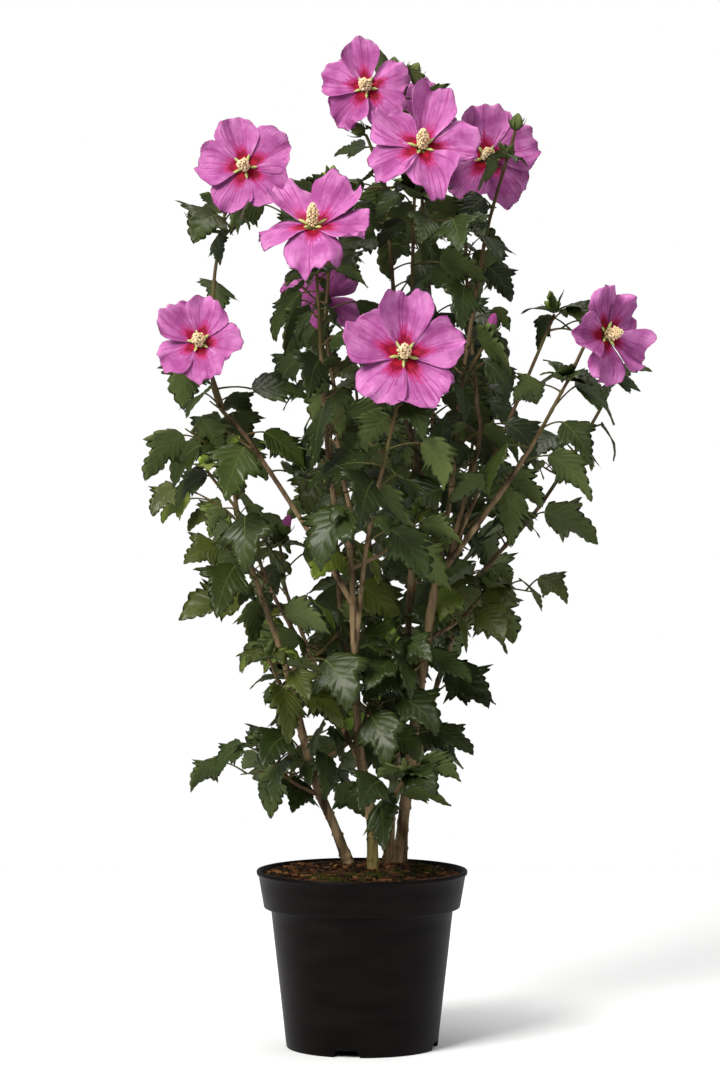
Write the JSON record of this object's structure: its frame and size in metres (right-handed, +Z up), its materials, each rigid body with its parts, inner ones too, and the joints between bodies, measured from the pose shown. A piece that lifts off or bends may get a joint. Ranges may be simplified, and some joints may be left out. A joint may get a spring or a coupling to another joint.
{
  "type": "potted hibiscus shrub",
  "caption": "Upright hibiscus shrub with several stems, toothed lobed leaves and wide pink blossoms, growing in a round black nursery pot.",
  "frame": {"origin": "centre of the pot's flat underside, on the surface it stands on", "axes": "+Z up along the pot's axis, -Y towards the front, where most of the blossom faces, +X to the right seen from the front"},
  "size_m": [0.5141, 0.4653, 1.0494],
  "materials": {
    "pot_plastic": "satin",
    "compost": "matte",
    "bark": "matte",
    "young_bark": "satin",
    "foliage": "satin",
    "leaf_underside": "matte",
    "petal": "matte",
    "stamen": "matte",
    "calyx": "matte"
  },
  "bodies": {
    "root": {"pot": "pot_plastic", "soil": "compost", "stem_left": "bark", "stem_centre": "bark", "stem_right": "bark", "stem_back": "bark", "bough_left_tip": "young_bark", "bough_front": "young_bark", "bough_left": "young_bark", "bough_low_left": "young_bark", "bough_inner_left": "young_bark", "bough_middle_left": "young_bark", "bough_middle": "young_bark", "bough_top": "young_bark", "bough_tall_back": "young_bark", "bough_right": "young_bark", "bough_far_right": "young_bark", "bough_inner_right": "young_bark", "bough_slant_right": "young_bark", "bough_low_right": "young_bark", "bough_back_left": "young_bark", "bough_back": "young_bark", "bough_back_right": "young_bark", "bough_back_middle": "young_bark", "foliage_left_tip": "foliage", "foliage_front": "foliage", "foliage_left": "foliage", "foliage_low_left": "foliage", "foliage_inner_left": "foliage", "foliage_middle_left": "foliage", "foliage_middle": "foliage", "foliage_top": "foliage", "foliage_tall_back": "foliage", "foliage_right": "foliage", "foliage_far_right": "foliage", "foliage_inner_right": "foliage", "foliage_slant_right": "foliage", "foliage_low_right": "foliage", "foliage_back_left": "foliage", "foliage_back": "foliage", "foliage_back_right": "foliage", "foliage_back_middle": "foliage", "foliage_stem_left_spray_1": "foliage", "foliage_stem_left_spray_2": "foliage", "foliage_stem_left_spray_3": "foliage", "foliage_stem_left_spray_4": "foliage", "foliage_stem_left_spray_5": "foliage", "foliage_stem_centre_spray_1": "foliage", "foliage_stem_centre_spray_2": "foliage", "foliage_stem_centre_spray_4": "foliage", "foliage_stem_right_spray_2": "foliage", "foliage_stem_right_spray_3": "foliage", "foliage_stem_right_spray_4": "foliage", "foliage_stem_back_spray_1": "foliage", "foliage_stem_back_spray_2": "foliage", "foliage_stem_back_spray_3": "foliage"}
  },
  "joints": []
}
